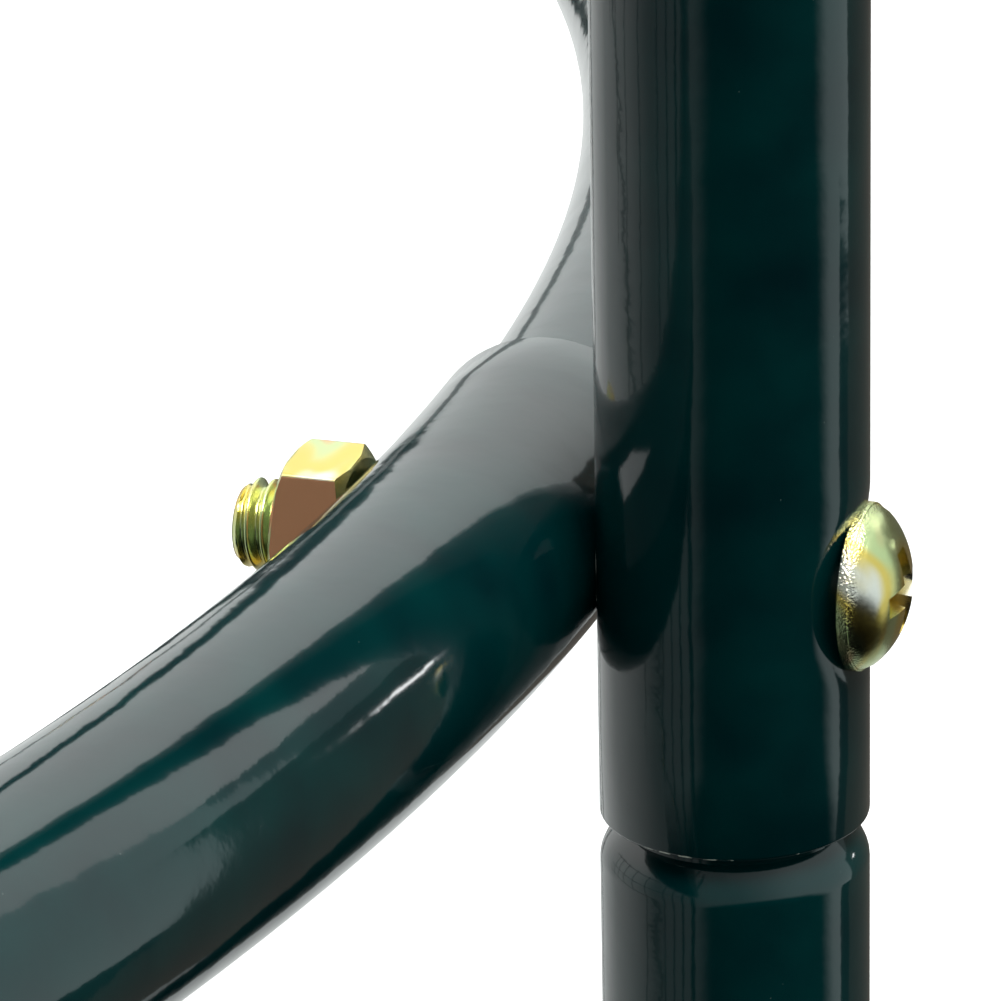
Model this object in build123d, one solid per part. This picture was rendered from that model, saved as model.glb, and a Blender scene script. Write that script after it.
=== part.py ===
from build123d import *

# A walk-through garden arch for climbing plants, bolted together from sectional steel tube.
# Three bows stand one behind the other and straight rails run from front to rear over them.
# Every tube that meets another end to end has one plain end, which is the sleeve, over one
# end that is drawn down to a narrower neck. One screw goes through each crossing of a bow
# and a rail, with its head on the rail and its nut inside the arch.
#
# Millimetres. X runs across the arch, Y from front to rear, Z up. The origin is on the
# ground, in the middle of the arch.

import os
from math import cos, degrees, radians, sin, sqrt

# ---------------------------------------------------------------- driving dimensions

# The arch
leg_spacing = 1200.0  # between the axes of a bow's two legs
bow_spacing = 450.0  # from one bow to the next
springing_height = 1975.0  # where the straight legs end
shoulder_radius = 290.0  # bend at each shoulder, at the tube's axis
shoulder_turn = 65.0  # degrees, how far the shoulder bends before the flatter crown

# The tube
tube_od = 17.0
tube_wall = 1.2
swage_clearance = 0.1  # on the radius, between a neck and its sleeve
swage_taper = 2.4  # length of the cone from the full tube to the neck
lap = 15.8  # from a joint's screw to the sleeve's end, and to the neck's end
shoulder_neck_shown = 130.0  # bare neck below a shoulder joint
straight_neck_shown = 0.8  # bare neck at a straight joint

# Where the rails cross the bows
top_rail_drop = 160.0  # from the springing down to the highest side rail
side_rails = 5
leg_joint_rail = 3  # the side rail whose screw also joins the two parts of the leg
shoulder_joint_turn = 45.0  # degrees round the shoulder bend
crown_rail_step = 15.5  # degrees between the rails of the crown
rail_overhang = 60.0  # past the axes of the outer bows

# Fasteners
thread_od = 5.9
hole_od = 6.4
thread_clearance = 0.05  # on the radius, inside the nut
head_od = 10.5
head_height = 3.3
head_edge = 0.5  # straight side below the dome
recess_width = 1.1
recess_length = 5.6
recess_depth = 1.9
nut_across_flats = 10.0
nut_height = 4.9
thread_shown = 2.7  # past the nut
thread_chamfer = 0.5
seat_depth = 0.5  # how far the tube is pressed flat under a head or a nut
seat_margin = 0.6  # round the head or the nut

# Ends
cap_wall = 1.7
cap_base = 4.0
cap_height = 28.0
cap_clearance = 0.05  # on the radius, over the leg
cap_edge = 1.5
plug_head = 2.6
plug_round = 1.4
plug_depth = 14.0
plug_clearance = 0.05  # on the radius, in the rail

# ---------------------------------------------------------------- worked-out sizes

tube_r = tube_od / 2
bore_r = tube_r - tube_wall
neck_r = bore_r - swage_clearance
neck_bore_r = neck_r - tube_wall
half_spacing = leg_spacing / 2

# The side rails share out the leg's straight length, from the ground up.
rail_pitch = (springing_height - top_rail_drop) / side_rails

# Two crossed tubes settle into each other until the edges of their screw holes bear.
hole_r = hole_od / 2
nest_gap = 0.01
nest = 2 * (tube_r - sqrt(tube_r**2 - hole_r**2 / 2)) - nest_gap
rail_offset = tube_od - nest  # from a bow's axis to the axis of a rail over it

head_seat = tube_r - seat_depth  # from a rail's axis
nut_seat = tube_r - seat_depth  # from a bow's axis
grip = head_seat + rail_offset + nut_seat
screw_length = grip + nut_height + thread_shown

# The crown's arc runs on smoothly from both shoulder bends.
crown_drop = (half_spacing - shoulder_radius) / cos(radians(shoulder_turn))
crown_radius = shoulder_radius + crown_drop
crown_centre_z = springing_height - crown_drop * sin(radians(shoulder_turn))


# ---------------------------------------------------------------- where things are


def bow_point(turn):
    """The point (x, z) of a bow's axis whose outward normal stands at this angle."""
    if turn < shoulder_turn:
        centre_x, centre_z, radius = half_spacing - shoulder_radius, springing_height, shoulder_radius
    elif turn > 180 - shoulder_turn:
        centre_x, centre_z, radius = shoulder_radius - half_spacing, springing_height, shoulder_radius
    else:
        centre_x, centre_z, radius = 0.0, crown_centre_z, crown_radius
    return centre_x + radius * cos(radians(turn)), centre_z + radius * sin(radians(turn))


def side_station(number, turn):
    """A crossing on a straight leg, as (x, z, angle of its screw)."""
    return (half_spacing if turn == 0 else -half_spacing), rail_pitch * number, turn


def arc_station(turn):
    """A crossing on a bend, as (x, z, angle of its screw)."""
    return (*bow_point(turn), turn)


def all_stations():
    """Every crossing of one bow, by name."""
    stations = {}
    for side, turn in (("right", 0.0), ("left", 180.0)):
        for number in range(1, side_rails + 1):
            stations[f"{side}_{number}"] = side_station(number, turn)
    stations["shoulder_right"] = arc_station(shoulder_joint_turn)
    stations["shoulder_left"] = arc_station(180 - shoulder_joint_turn)
    stations["crown_right"] = arc_station(90 - crown_rail_step)
    stations["ridge"] = arc_station(90.0)
    stations["crown_left"] = arc_station(90 + crown_rail_step)
    return stations


def placed(part, station, y=0.0):
    """Move a part from the axes of its screw, with +X outwards, to a crossing."""
    x, z, turn = station
    return Pos(x, y, z) * Rot(0, -turn, 0) * part


# ---------------------------------------------------------------- cutters


def screw_hole():
    """A cutter through one tube, along X."""
    return Rot(0, 90, 0) * Cylinder(hole_r, tube_od + 4)


def seat_cutter(across):
    """A cutter that leaves the flat that a head presses into a tube, on the +X side."""
    depth = tube_r
    middle = head_seat + depth / 2
    return Pos(middle, 0, 0) * Rot(0, 90, 0) * Cylinder(across / 2 + seat_margin, depth)


def nut_corners():
    """Across the nut's corners."""
    return nut_across_flats / cos(radians(30))


def drilled(tube, stations):
    """A bow's tube with its screw holes and the flats under its nuts."""
    for station in stations:
        tube -= placed(screw_hole(), station)
        tube -= placed(Rot(0, 0, 180) * seat_cutter(nut_corners()), station)
    return tube


# ---------------------------------------------------------------- tubes


def straight_tube(length, neck_shown=None):
    """A tube along +Z from the origin. With a neck, the neck's end is at the full length."""
    if neck_shown is None:
        return extrude(Circle(tube_r) - Circle(bore_r), length)
    neck_start = length - 2 * lap - neck_shown
    taper_start = neck_start - swage_taper
    outline = Polyline(
        (bore_r, 0),
        (tube_r, 0),
        (tube_r, taper_start),
        (neck_r, neck_start),
        (neck_r, length),
        (neck_bore_r, length),
        (neck_bore_r, neck_start),
        (bore_r, taper_start),
        close=True,
    )
    return revolve(make_face(Plane.XZ * outline), Axis.Z)


def round_at(radius, turn):
    """A disc square across a bow's axis at this angle of the shoulder bend."""
    x, z = bow_point(turn)
    along = (-sin(radians(turn)), 0, cos(radians(turn)))
    return Plane(origin=(x, 0, z), z_dir=along) * Circle(radius)


def bow_arc(start_turn, end_turn):
    """An arc of a bow's axis between two angles."""
    points = [bow_point(turn) for turn in (start_turn, (start_turn + end_turn) / 2, end_turn)]
    return ThreePointArc(*[(x, 0, z) for x, z in points])


def turn_of(length):
    """The angle of a length along the shoulder bend."""
    return degrees(length / shoulder_radius)


def upper_leg_bar(base, full_r, neck_radius):
    """The solid form of an upper leg: straight, bent at the shoulder, then drawn down."""
    neck_start = shoulder_joint_turn - turn_of(lap + shoulder_neck_shown)
    neck_end = shoulder_joint_turn + turn_of(lap)
    taper_start = neck_start - turn_of(swage_taper)
    body_path = Line((half_spacing, 0, base), (half_spacing, 0, springing_height)) + bow_arc(0, taper_start)
    body = sweep(Pos(half_spacing, 0, base) * Circle(full_r), path=body_path)
    taper = loft([round_at(full_r, taper_start), round_at(neck_radius, neck_start)])
    neck = sweep(round_at(neck_radius, neck_start), path=bow_arc(neck_start, neck_end))
    return body + taper + neck


def make_upper_leg(stations):
    base = rail_pitch * leg_joint_rail - lap
    tube = upper_leg_bar(base, tube_r, neck_r) - upper_leg_bar(base, bore_r, neck_bore_r)
    numbers = range(leg_joint_rail, side_rails + 1)
    used = [stations[f"right_{number}"] for number in numbers] + [stations["shoulder_right"]]
    return drilled(tube, used)


def make_lower_leg(stations):
    length = rail_pitch * leg_joint_rail + lap - cap_base
    tube = Pos(half_spacing, 0, cap_base) * straight_tube(length, straight_neck_shown)
    used = [stations[f"right_{number}"] for number in range(1, leg_joint_rail + 1)]
    return drilled(tube, used)


def make_crown(stations):
    """The top of a bow, plain at both ends, which are sleeves over the upper legs."""
    start = shoulder_joint_turn - turn_of(lap)
    path = bow_arc(start, shoulder_turn)
    path += bow_arc(shoulder_turn, 180 - shoulder_turn)
    path += bow_arc(180 - shoulder_turn, 180 - start)
    tube = sweep(round_at(tube_r, start), path=path) - sweep(round_at(bore_r, start), path=path)
    names = ("shoulder_right", "crown_right", "ridge", "crown_left", "shoulder_left")
    return drilled(tube, [stations[name] for name in names])


def make_rail(front):
    """One section of rail, along Y, with the screws' side at +X and the middle bow at 0."""
    reach = bow_spacing + rail_overhang + lap
    tube = straight_tube(reach, straight_neck_shown) if front else straight_tube(reach)
    # A front section starts at the front and ends in its neck; a rear one starts as a sleeve.
    start = -bow_spacing - rail_overhang if front else -lap
    tube = Pos(0, start, 0) * Rot(-90, 0, 0) * tube
    outer_bow = -bow_spacing if front else bow_spacing
    for y in (0.0, outer_bow):
        tube -= Pos(0, y, 0) * screw_hole()
        tube -= Pos(0, y, 0) * seat_cutter(head_od)
    return tube


# ---------------------------------------------------------------- fasteners and ends


def make_screw():
    """A domed screw along X from a rail's axis, with its head outwards and a cross recess."""
    dome_rise = head_height - head_edge
    top_flat = recess_width
    outline = Polyline((0, 0), (head_od / 2, 0), (head_od / 2, head_edge))
    rim = (head_od / 2, head_edge)
    mid = (head_od / 2 * sin(radians(48)), head_edge + dome_rise * cos(radians(48)))
    outline += ThreePointArc(rim, mid, (top_flat, head_height))
    outline += Polyline((top_flat, head_height), (0, head_height), (0, 0))
    head = revolve(make_face(Plane.XZ * outline), Axis.Z)
    recess_middle = head_height - recess_depth / 2
    for turn in (0, 90):
        bar = Box(recess_length, recess_width, recess_depth + 0.2)
        head -= Pos(0, 0, recess_middle + 0.1) * Rot(0, 0, turn) * bar
    shank = Pos(0, 0, -screw_length / 2) * Cylinder(thread_od / 2, screw_length)
    tip = shank.edges().sort_by(Axis.Z)[0]
    shank = chamfer(tip, thread_chamfer)
    return Pos(head_seat, 0, 0) * Rot(0, 90, 0) * (head + shank)


def make_nut():
    """A hexagon nut along X, on the inner side of a bow, in the screw's axes."""
    bore = thread_od / 2 + thread_clearance
    nut = extrude(RegularPolygon(nut_corners() / 2, 6) - Circle(bore), nut_height)
    corner_cone = Cone(nut_corners() / 2 + nut_height, nut_corners() / 2 - 0.35, nut_height + 0.2)
    nut &= Pos(0, 0, nut_height / 2) * corner_cone
    bearing_x = -rail_offset - nut_seat
    return Pos(bearing_x, 0, 0) * Rot(0, -90, 0) * nut


def make_foot_cap():
    """A moulded cap under a leg, on the ground at the origin."""
    bore = tube_r + cap_clearance
    cap = Pos(0, 0, cap_height / 2) * Cylinder(bore + cap_wall, cap_height)
    cap = chamfer(cap.edges().group_by(Axis.Z)[0], cap_edge)
    return cap - Pos(0, 0, cap_base + cap_height / 2) * Cylinder(bore, cap_height)


def make_plug():
    """A plug for the rear end of a rail, with its rounded head outwards along +Y."""
    head = Pos(0, 0, plug_head / 2) * Cylinder(tube_r, plug_head)
    head = fillet(head.edges().group_by(Axis.Z)[-1], plug_round)
    spigot = Pos(0, 0, -plug_depth / 2) * Cylinder(bore_r - plug_clearance, plug_depth)
    return Rot(-90, 0, 0) * (head + spigot)


# ---------------------------------------------------------------- the assembly


def mirrored_left(part):
    return mirror(part, Plane.YZ)


def bow_nodes(stations):
    """The five tubes of each of the three bows."""
    lower = make_lower_leg(stations)
    upper = make_upper_leg(stations)
    crown = make_crown(stations)
    shapes = {
        "lower_leg_right": lower,
        "lower_leg_left": mirrored_left(lower),
        "upper_leg_right": upper,
        "upper_leg_left": mirrored_left(upper),
        "crown": crown,
    }
    for bow, y in bows().items():
        for name, shape in shapes.items():
            yield f"{bow}_{name}", Pos(0, y, 0) * shape


def bows():
    """The bows' places along Y."""
    return {"front": -bow_spacing, "middle": 0.0, "rear": bow_spacing}


def rail_station(station):
    """A crossing moved out from the bow's axis to the rail's."""
    x, z, turn = station
    return x + rail_offset * cos(radians(turn)), z + rail_offset * sin(radians(turn)), turn


def rail_nodes(stations):
    """The two sections of every rail."""
    sections = {"front": make_rail(front=True), "rear": make_rail(front=False)}
    for place, station in stations.items():
        for end, shape in sections.items():
            yield f"rail_{place}_{end}", placed(shape, rail_station(station))


def fastener_nodes(stations):
    """The screws and the nuts, one node of each for every bow."""
    screw = make_screw()
    nut = make_nut()
    for bow, y in bows().items():
        screws = [placed(screw, rail_station(station), y) for station in stations.values()]
        nuts = [placed(nut, rail_station(station), y) for station in stations.values()]
        yield f"{bow}_bow_screws", Compound(children=screws)
        yield f"{bow}_bow_nuts", Compound(children=nuts)


def end_nodes(stations):
    """The foot caps, and the plugs in the ends of the rails."""
    cap = make_foot_cap()
    feet = [(x, y) for y in bows().values() for x in (-half_spacing, half_spacing)]
    yield "foot_caps", Compound(children=[Pos(x, y, 0) * cap for x, y in feet])
    plug = Pos(0, bow_spacing + rail_overhang, 0) * make_plug()
    for end, shape in (("rear", plug), ("front", Rot(180, 0, 0) * plug)):
        plugs = [placed(shape, rail_station(station)) for station in stations.values()]
        yield f"rail_plugs_{end}", Compound(children=plugs)


def main():
    os.makedirs("parts", exist_ok=True)
    stations = all_stations()
    for group in (bow_nodes, rail_nodes, fastener_nodes, end_nodes):
        for name, shape in group(stations):
            export_step(shape, f"parts/{name}.step")
            print(name, round(shape.volume, 1))


main()
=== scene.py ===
from math import cos, floor, pi, radians, sin, sqrt, tan

import bpy
from bpy.props import FloatProperty, FloatVectorProperty, IntProperty, PointerProperty
from bpy.types import Operator, Panel, PropertyGroup
from mathutils import Matrix, Quaternion, Vector


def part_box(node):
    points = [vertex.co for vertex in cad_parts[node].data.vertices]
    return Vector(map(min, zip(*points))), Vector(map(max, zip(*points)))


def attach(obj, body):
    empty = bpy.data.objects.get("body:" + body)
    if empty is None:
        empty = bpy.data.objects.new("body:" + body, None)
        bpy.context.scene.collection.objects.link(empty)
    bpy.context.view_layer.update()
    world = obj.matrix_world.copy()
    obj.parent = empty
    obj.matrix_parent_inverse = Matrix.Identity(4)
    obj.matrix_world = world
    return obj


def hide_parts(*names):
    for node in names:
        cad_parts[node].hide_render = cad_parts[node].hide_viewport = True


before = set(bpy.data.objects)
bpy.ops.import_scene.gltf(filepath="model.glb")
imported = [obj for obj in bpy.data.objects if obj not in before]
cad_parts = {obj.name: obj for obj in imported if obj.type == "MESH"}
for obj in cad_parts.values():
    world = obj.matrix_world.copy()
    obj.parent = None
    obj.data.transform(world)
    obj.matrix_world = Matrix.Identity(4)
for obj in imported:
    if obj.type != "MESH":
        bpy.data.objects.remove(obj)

bl_info = {
    "name": "Garden arch",
    "version": (1, 0, 0),
    "blender": (4, 5, 0),
    "location": "3D Viewport > Sidebar > Garden arch",
    "description": "Dresses the frame of a bolted tube arch: tubes, screws, nuts, plugs, caps and a stage",
    "category": "Object",
}

MM = 0.001
UP = Vector((0, 0, 1))
REARWARDS = Vector((0, 1, 0))
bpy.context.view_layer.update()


# ------------------------------------------------------------------ places, from the frame


def middle_of(node):
    low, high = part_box(node)
    return (low + high) / 2


def width_of(node):
    low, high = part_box(node)
    return high - low


TUBE = width_of("rail_ridge_rear").x
LEG_X = middle_of("middle_lower_leg_right").x
BOW_Y = {bow: middle_of(f"{bow}_crown").y for bow in ("front", "middle", "rear")}
RAIL_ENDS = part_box("rail_ridge_front")[0].y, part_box("rail_ridge_rear")[1].y
LEG_FOOT_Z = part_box("middle_lower_leg_right")[0].z
LEG_JOINT_Z = middle_of("rail_right_3_rear").z
SIDES = {"right": 0.0, "left": pi}
SIDE_RAILS = 5
MIRROR_X = Matrix.Diagonal((-1, 1, 1, 1))

RIM = 0.22 * MM  # rounding of a sawn and enamelled end
RIM_WEAR = 0.3 * MM  # how far chips reach from a sharp end
FINE = 0.5 * MM  # ring spacing where a tube is dented
COARSE = 4 * MM  # ring spacing on the rest of a bend
BORE_STEP = 8 * MM  # ring spacing of a bend's bore
CROWN_BORE_STEP = 10 * MM
CROSSING_REACH = 10 * MM  # of fine rings, each side of a screw
TAPER_STEPS = 8

HEAD_SEAT = 2.6 * MM  # pressed in fully under a head
HEAD_LIP = 4.2 * MM
NUT_SEAT = 2.8 * MM  # and under a nut
NUT_LIP = 4.8 * MM
TUBE_SEAT = 0.7 * MM  # and where two tubes bear on each other
TUBE_LIP = 2.9 * MM
DENT_BAND = 0.6 * MM  # how far below the skin a dent takes its points

SHOWN_NUT_TURN = radians(4)  # at the middle bow's right shoulder
SHOWN_SCREW_TURN = radians(5)
LOOSE_TURN = radians(137.5)  # from one screw or nut to the next, so that no two line up
AXIS_HOLE = 0.02 * MM  # radius at which a screw is closed on its axis
FLAT_TONES = (0.35, -0.03, 0.04, -0.06, 0.12, -0.1)  # how thick each flat of a nut took its film
SHANK_TONE = -0.1


def crossing_names():
    names = [f"{side}_{number}" for side in SIDES for number in range(1, SIDE_RAILS + 1)]
    return [*names, "shoulder_right", "crown_right", "ridge", "crown_left", "shoulder_left"]


# ------------------------------------------------------------------ what a user would change


class ArchTubes(PropertyGroup):
    """Sizes of the tubes that the frame's boxes don't give."""

    springing: FloatProperty(
        name="Springing height", description="Where the straight legs end", default=1.975, unit="LENGTH"
    )
    shoulder_radius: FloatProperty(
        name="Shoulder radius", description="Bend at each shoulder", default=0.290, unit="LENGTH"
    )
    shoulder_turn: FloatProperty(
        name="Shoulder turn", description="How far a shoulder bends", default=radians(65), subtype="ANGLE"
    )
    joint_turn: FloatProperty(
        name="Joint turn", description="Where the shoulder's joint is", default=radians(45), subtype="ANGLE"
    )
    crown_step: FloatProperty(
        name="Crown step", description="Between the crown's rails", default=radians(15.5), subtype="ANGLE"
    )
    wall: FloatProperty(name="Wall", description="Thickness of the tube", default=1.2 * MM, unit="LENGTH")
    neck: FloatProperty(
        name="Neck", description="Diameter of a drawn-down end", default=14.4 * MM, unit="LENGTH"
    )
    lap: FloatProperty(
        name="Lap", description="From a screw to a sleeve's end", default=15.8 * MM, unit="LENGTH"
    )
    taper: FloatProperty(name="Taper", description="Length of a neck's cone", default=2.4 * MM, unit="LENGTH")
    shoulder_neck: FloatProperty(
        name="Shoulder neck", description="Bare neck under a shoulder", default=130 * MM, unit="LENGTH"
    )
    straight_neck: FloatProperty(
        name="Straight neck", description="Bare neck at a straight joint", default=0.8 * MM, unit="LENGTH"
    )
    press: FloatProperty(
        name="Press", description="How deep a head or a nut dents the tube", default=0.5 * MM, unit="LENGTH"
    )
    around: IntProperty(name="Sides", description="Flats round a tube", default=72, min=24)


class ArchFasteners(PropertyGroup):
    """Sizes of the screws and nuts."""

    thread: FloatProperty(name="Thread", description="Over the crests", default=5.9 * MM, unit="LENGTH")
    pitch: FloatProperty(name="Pitch", description="From crest to crest", default=1.0 * MM, unit="LENGTH")
    head: FloatProperty(name="Head", description="Across the head", default=10.5 * MM, unit="LENGTH")
    head_height: FloatProperty(
        name="Head height", description="Height of the head", default=3.3 * MM, unit="LENGTH"
    )
    flats: FloatProperty(name="Nut", description="Across the nut's flats", default=10 * MM, unit="LENGTH")
    nut_height: FloatProperty(
        name="Nut height", description="Height of a nut", default=4.5 * MM, unit="LENGTH"
    )
    shown: FloatProperty(name="Thread shown", description="Past the nut", default=3.3 * MM, unit="LENGTH")


class ArchColours(PropertyGroup):
    """The finishes' colours."""

    enamel: FloatVectorProperty(
        name="Enamel", description="Dark green enamel", subtype="COLOR", default=(0.0, 0.019, 0.0185)
    )
    enamel_deep: FloatVectorProperty(
        name="Deep enamel", description="Where it lies thicker", subtype="COLOR", default=(0.0, 0.004, 0.006)
    )
    primer: FloatVectorProperty(
        name="Primer", description="Shows at chipped rims", subtype="COLOR", default=(0.55, 0.58, 0.5)
    )
    gold: FloatVectorProperty(
        name="Passivate, yellow", description="Yellow zinc", subtype="COLOR", default=(0.80, 0.62, 0.16)
    )
    lime: FloatVectorProperty(
        name="Passivate, green", description="Green cast", subtype="COLOR", default=(0.62, 0.72, 0.36)
    )
    rose: FloatVectorProperty(
        name="Passivate, rose", description="Rose cast", subtype="COLOR", default=(0.82, 0.38, 0.2)
    )
    silver: FloatVectorProperty(
        name="Passivate, thin", description="Thin film", subtype="COLOR", default=(0.86, 0.84, 0.76)
    )
    plug: FloatVectorProperty(
        name="Plugs", description="Moulded plugs", subtype="COLOR", default=(0.012, 0.02, 0.019)
    )
    rubber: FloatVectorProperty(
        name="Caps", description="Moulded foot caps", subtype="COLOR", default=(0.018, 0.018, 0.017)
    )
    floor: FloatVectorProperty(
        name="Floor", description="Pale floor", subtype="COLOR", default=(0.86, 0.86, 0.85)
    )


# ------------------------------------------------------------------ modelling helpers


def leave_edit_mode():
    if bpy.context.object and bpy.context.object.mode != "OBJECT":
        bpy.ops.object.mode_set(mode="OBJECT")


def pick(*objects):
    """Select only these objects, the first one active."""
    leave_edit_mode()
    bpy.ops.object.select_all(action="DESELECT")
    for each in objects:
        each.select_set(True)
    bpy.context.view_layer.objects.active = objects[0] if objects else None


def new_piece(name):
    """Name what a primitive has just added, and move its place into its mesh."""
    piece = bpy.context.object
    piece.name = piece.data.name = name
    bpy.ops.object.transform_apply(location=True, rotation=True, scale=True)
    return piece


def select_vertices(piece, wanted):
    """In edit mode with only the vertices selected that a test picks out."""
    pick(piece)
    bpy.ops.object.mode_set(mode="EDIT")
    bpy.ops.mesh.select_mode(type="VERT")
    bpy.ops.mesh.select_all(action="DESELECT")
    bpy.ops.object.mode_set(mode="OBJECT")
    for vertex in piece.data.vertices:
        vertex.select = bool(wanted(vertex.co))
    bpy.ops.object.mode_set(mode="EDIT")


def apply_modifier(piece, kind, **settings):
    pick(piece)
    modifier = piece.modifiers.new(kind.title(), kind)
    for key, value in settings.items():
        setattr(modifier, key, value)
    bpy.ops.object.modifier_apply(modifier=modifier.name)


def discard(*objects):
    pick(*objects)
    bpy.ops.object.delete()


def cut_with(piece, cutter, operation="DIFFERENCE"):
    apply_modifier(piece, "BOOLEAN", object=cutter, operation=operation, solver="EXACT")
    discard(cutter)


def close_up(piece, merge=0.03 * MM):
    """Merge doubled points and turn every face outwards."""
    select_vertices(piece, lambda point: True)
    bpy.ops.mesh.remove_doubles(threshold=merge)
    bpy.ops.mesh.normals_make_consistent(inside=False)
    bpy.ops.object.mode_set(mode="OBJECT")


def smooth(piece, angle=radians(35)):
    pick(piece)
    bpy.ops.object.shade_smooth_by_angle(angle=angle)


def copy_of(piece, name, matrix):
    """A copy with its own mesh, moved by a matrix in its mesh."""
    pick(piece)
    bpy.ops.object.duplicate(linked=False)
    copy = bpy.context.object
    copy.name = copy.data.name = name
    copy.data.transform(matrix)
    if matrix.determinant() < 0:
        copy.data.flip_normals()
    return copy


def joined(pieces, name):
    pick(*pieces)
    bpy.ops.object.join()
    whole = bpy.context.object
    whole.name = whole.data.name = name
    return whole


def dress(piece, material, slot, *nodes):
    """Give a finished piece its material, hang it under the root and hide the nodes it stands for."""
    piece.data.materials.clear()
    piece.data.materials.append(material)
    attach(piece, "root")
    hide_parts(*nodes)


class Turning:
    """A round shape drawn ring by ring in edit mode, along a path that may bend."""

    def __init__(self, name, centre, along, radius, around):
        pick()
        turn = Vector(along).to_track_quat("Z", "Y").to_euler()
        bpy.ops.mesh.primitive_circle_add(
            vertices=around, radius=radius, fill_type="NOTHING", location=centre, rotation=turn
        )
        self.piece = new_piece(name)
        self.centre = Vector(centre)
        self.along = Vector(along).normalized()
        self.radius = radius
        bpy.ops.object.mode_set(mode="EDIT")
        bpy.ops.mesh.select_all(action="SELECT")

    def out_to(self, radius):
        """A flat face from this ring to one of another radius."""
        bpy.ops.mesh.extrude_region_move()
        return self.swell_to(radius)

    def swell_to(self, radius):
        bpy.ops.transform.resize(value=(radius / self.radius,) * 3, center_override=self.centre)
        self.radius = radius
        return self

    def straight(self, length, steps=1):
        step = self.along * (length / steps)
        for _ in range(steps):
            bpy.ops.mesh.extrude_region_move(TRANSFORM_OT_translate={"value": step})
            self.centre += step
        return self

    def cone(self, length, radius, steps=1):
        start = self.radius
        for number in range(steps):
            self.straight(length / steps)
            self.swell_to(start + (radius - start) * (number + 1) / steps)
        return self

    def bend(self, pivot, angle, steps):
        """Round a pivot in the XZ plane. A positive angle turns from +X towards +Z."""
        bpy.ops.mesh.spin(steps=steps, angle=angle, center=pivot, axis=(0, 1, 0))
        turn = Matrix.Rotation(-angle, 3, "Y")
        self.centre = Vector(pivot) + turn @ (self.centre - Vector(pivot))
        self.along = turn @ self.along
        return self

    def rounded(self, radius, rise, steps=3):
        """A quarter round, from this ring to another radius, that climbs by rise."""
        start = self.radius
        grows = radius > start
        height = 0.0
        for number in range(1, steps + 1):
            angle = pi / 2 * number / steps
            share = sin(angle) if grows else 1 - cos(angle)
            climb = (1 - cos(angle)) if grows else sin(angle)
            self.straight((climb - height) * rise)
            height = climb
            self.swell_to(start + (radius - start) * share)
        return self

    def lidded(self):
        """Close this ring with a disc."""
        bpy.ops.mesh.edge_face_add()
        return self

    def done(self):
        bpy.ops.object.mode_set(mode="OBJECT")
        close_up(self.piece)
        return self.piece


def mark_rims(piece, places=(), reach=RIM_WEAR):
    """A mask that is 1 on the sharp rims at these points and fades away from them."""
    mask = piece.data.attributes.new("rim", "FLOAT", "POINT")
    for vertex, value in zip(piece.data.vertices, mask.data):
        near = min(((vertex.co - place).length for place in places), default=reach)
        value.value = max(0.0, 1 - near / reach)


# ------------------------------------------------------------------ the bow's line


def bow_axis(turn):
    """The point of a bow's axis whose outward normal stands at this angle, from the right up to the ridge."""
    tubes = bpy.context.scene.arch_tubes
    pivot, radius = shoulder_pivot(), tubes.shoulder_radius
    if turn > tubes.shoulder_turn:
        pivot, radius = crown_pivot(), tubes.shoulder_radius + crown_drop()
    return pivot + radius * Vector((cos(turn), 0, sin(turn)))


def shoulder_pivot():
    tubes = bpy.context.scene.arch_tubes
    return Vector((LEG_X - tubes.shoulder_radius, 0, tubes.springing))


def crown_drop():
    """From a shoulder's pivot to the crown's."""
    tubes = bpy.context.scene.arch_tubes
    return (LEG_X - tubes.shoulder_radius) / cos(tubes.shoulder_turn)


def crown_pivot():
    tubes = bpy.context.scene.arch_tubes
    return Vector((0, 0, tubes.springing - crown_drop() * sin(tubes.shoulder_turn)))


def crossing(name):
    """Where a rail crosses a bow: the rail's axis, and the way its screw's head faces."""
    tubes = bpy.context.scene.arch_tubes
    turns = {
        "shoulder_right": tubes.joint_turn,
        "crown_right": pi / 2 - tubes.crown_step,
        "ridge": pi / 2,
        "crown_left": pi / 2 + tubes.crown_step,
        "shoulder_left": pi - tubes.joint_turn,
    }
    turn = turns[name] if name in turns else SIDES[name.split("_")[0]]
    place = middle_of(f"rail_{name}_rear")
    return Vector((place.x, 0, place.z)), turn


def rail_gap():
    """From a bow's axis to the axis of a rail that crosses it."""
    return middle_of("rail_right_1_rear").x - LEG_X


def crossing_matrix(name, y=0.0):
    """From a crossing's own axes, with its screw along +X and its rail along Y, to its place."""
    place, turn = crossing(name)
    return Matrix.Translation(place + Vector((0, y, 0))) @ Matrix.Rotation(-turn, 4, "Y")


# ------------------------------------------------------------------ dents where pieces are pulled together


def dent(piece, centre, outwards, flat, lip, depth):
    """Press the skin in round a screw: level within flat of its axis, and rising over lip."""
    centre, outwards = Vector(centre), Vector(outwards).normalized()

    def under(point):
        offset = point - centre
        height = offset.dot(outwards)
        across = (offset - outwards * height).length
        return height > 0 and across < flat and TUBE / 2 - DENT_BAND < offset.length < TUBE

    select_vertices(piece, under)
    bpy.ops.transform.translate(
        value=-outwards * depth,
        use_proportional_edit=True,
        use_proportional_connected=True,
        proportional_edit_falloff="SMOOTH",
        proportional_size=lip,
    )
    bpy.ops.object.mode_set(mode="OBJECT")


def press_sides(piece, centre, outwards, seat, lip):
    """The dent under a head or a nut on one side, and the smaller one against the other tube."""
    dent(piece, centre, outwards, seat, lip, bpy.context.scene.arch_tubes.press)
    dent(piece, centre, -Vector(outwards), TUBE_SEAT, TUBE_LIP, (TUBE - rail_gap()) / 2)


# ------------------------------------------------------------------ materials


def set_socket(tree, socket, value):
    """Link a socket to another, or give it a plain value."""
    if isinstance(value, bpy.types.NodeSocket):
        tree.links.new(value, socket)
    else:
        socket.default_value = value


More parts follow.
